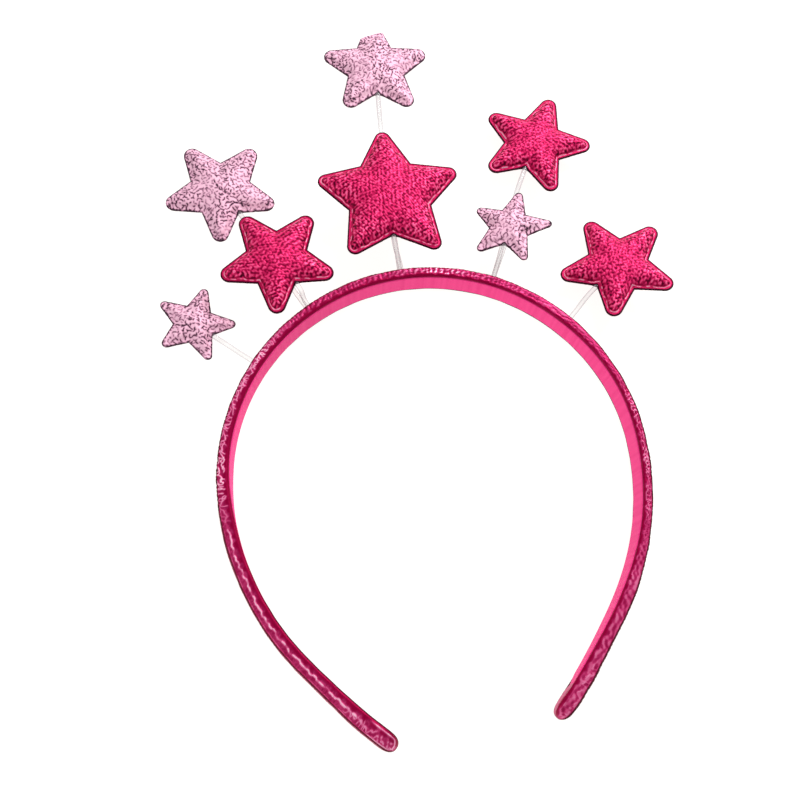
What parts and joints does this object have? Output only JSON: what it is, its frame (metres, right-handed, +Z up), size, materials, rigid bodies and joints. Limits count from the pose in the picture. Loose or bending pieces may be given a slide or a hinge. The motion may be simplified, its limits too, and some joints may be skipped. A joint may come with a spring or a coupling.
{
  "type": "star headband",
  "caption": "Fabric-wrapped hoop headband with padded glitter stars standing off its crown on clear rods, worn over the top of the head.",
  "frame": {"origin": "middle of the hoop's lower edge at the crown, on the surface that the headband lies on", "axes": "+X across the hoop, +Y out of the crown, which is up when the headband is worn, +Z up from the surface"},
  "size_m": [0.153, 0.2187, 0.0165],
  "materials": {
    "wrapped_band": "crinkled metallic magenta fabric wrapped over a moulded plastic hoop",
    "lining": "smooth bright pink ribbon",
    "rose_star": "hot pink glitter fabric over padding",
    "blush_star": "pale pink glitter fabric over padding",
    "rod": "clear polished plastic"
  },
  "bodies": {
    "root": {"band_cover": "wrapped_band", "band_lining": "lining", "star_crown_low_front": "rose_star", "star_crown_low_back": "rose_star", "stem_crown_low": "rod", "star_crown_high_front": "blush_star", "star_crown_high_back": "blush_star", "stem_crown_high": "rod", "star_left_low_front": "rose_star", "star_left_low_back": "rose_star", "stem_left_low": "rod", "star_left_high_front": "blush_star", "star_left_high_back": "blush_star", "stem_left_high": "rod", "star_left_side_front": "blush_star", "star_left_side_back": "blush_star", "stem_left_side": "rod", "star_right_low_front": "blush_star", "star_right_low_back": "blush_star", "stem_right_low": "rod", "star_right_high_front": "rose_star", "star_right_high_back": "rose_star", "stem_right_high": "rod", "star_right_side_front": "rose_star", "star_right_side_back": "rose_star", "stem_right_side": "rod"}
  },
  "joints": []
}
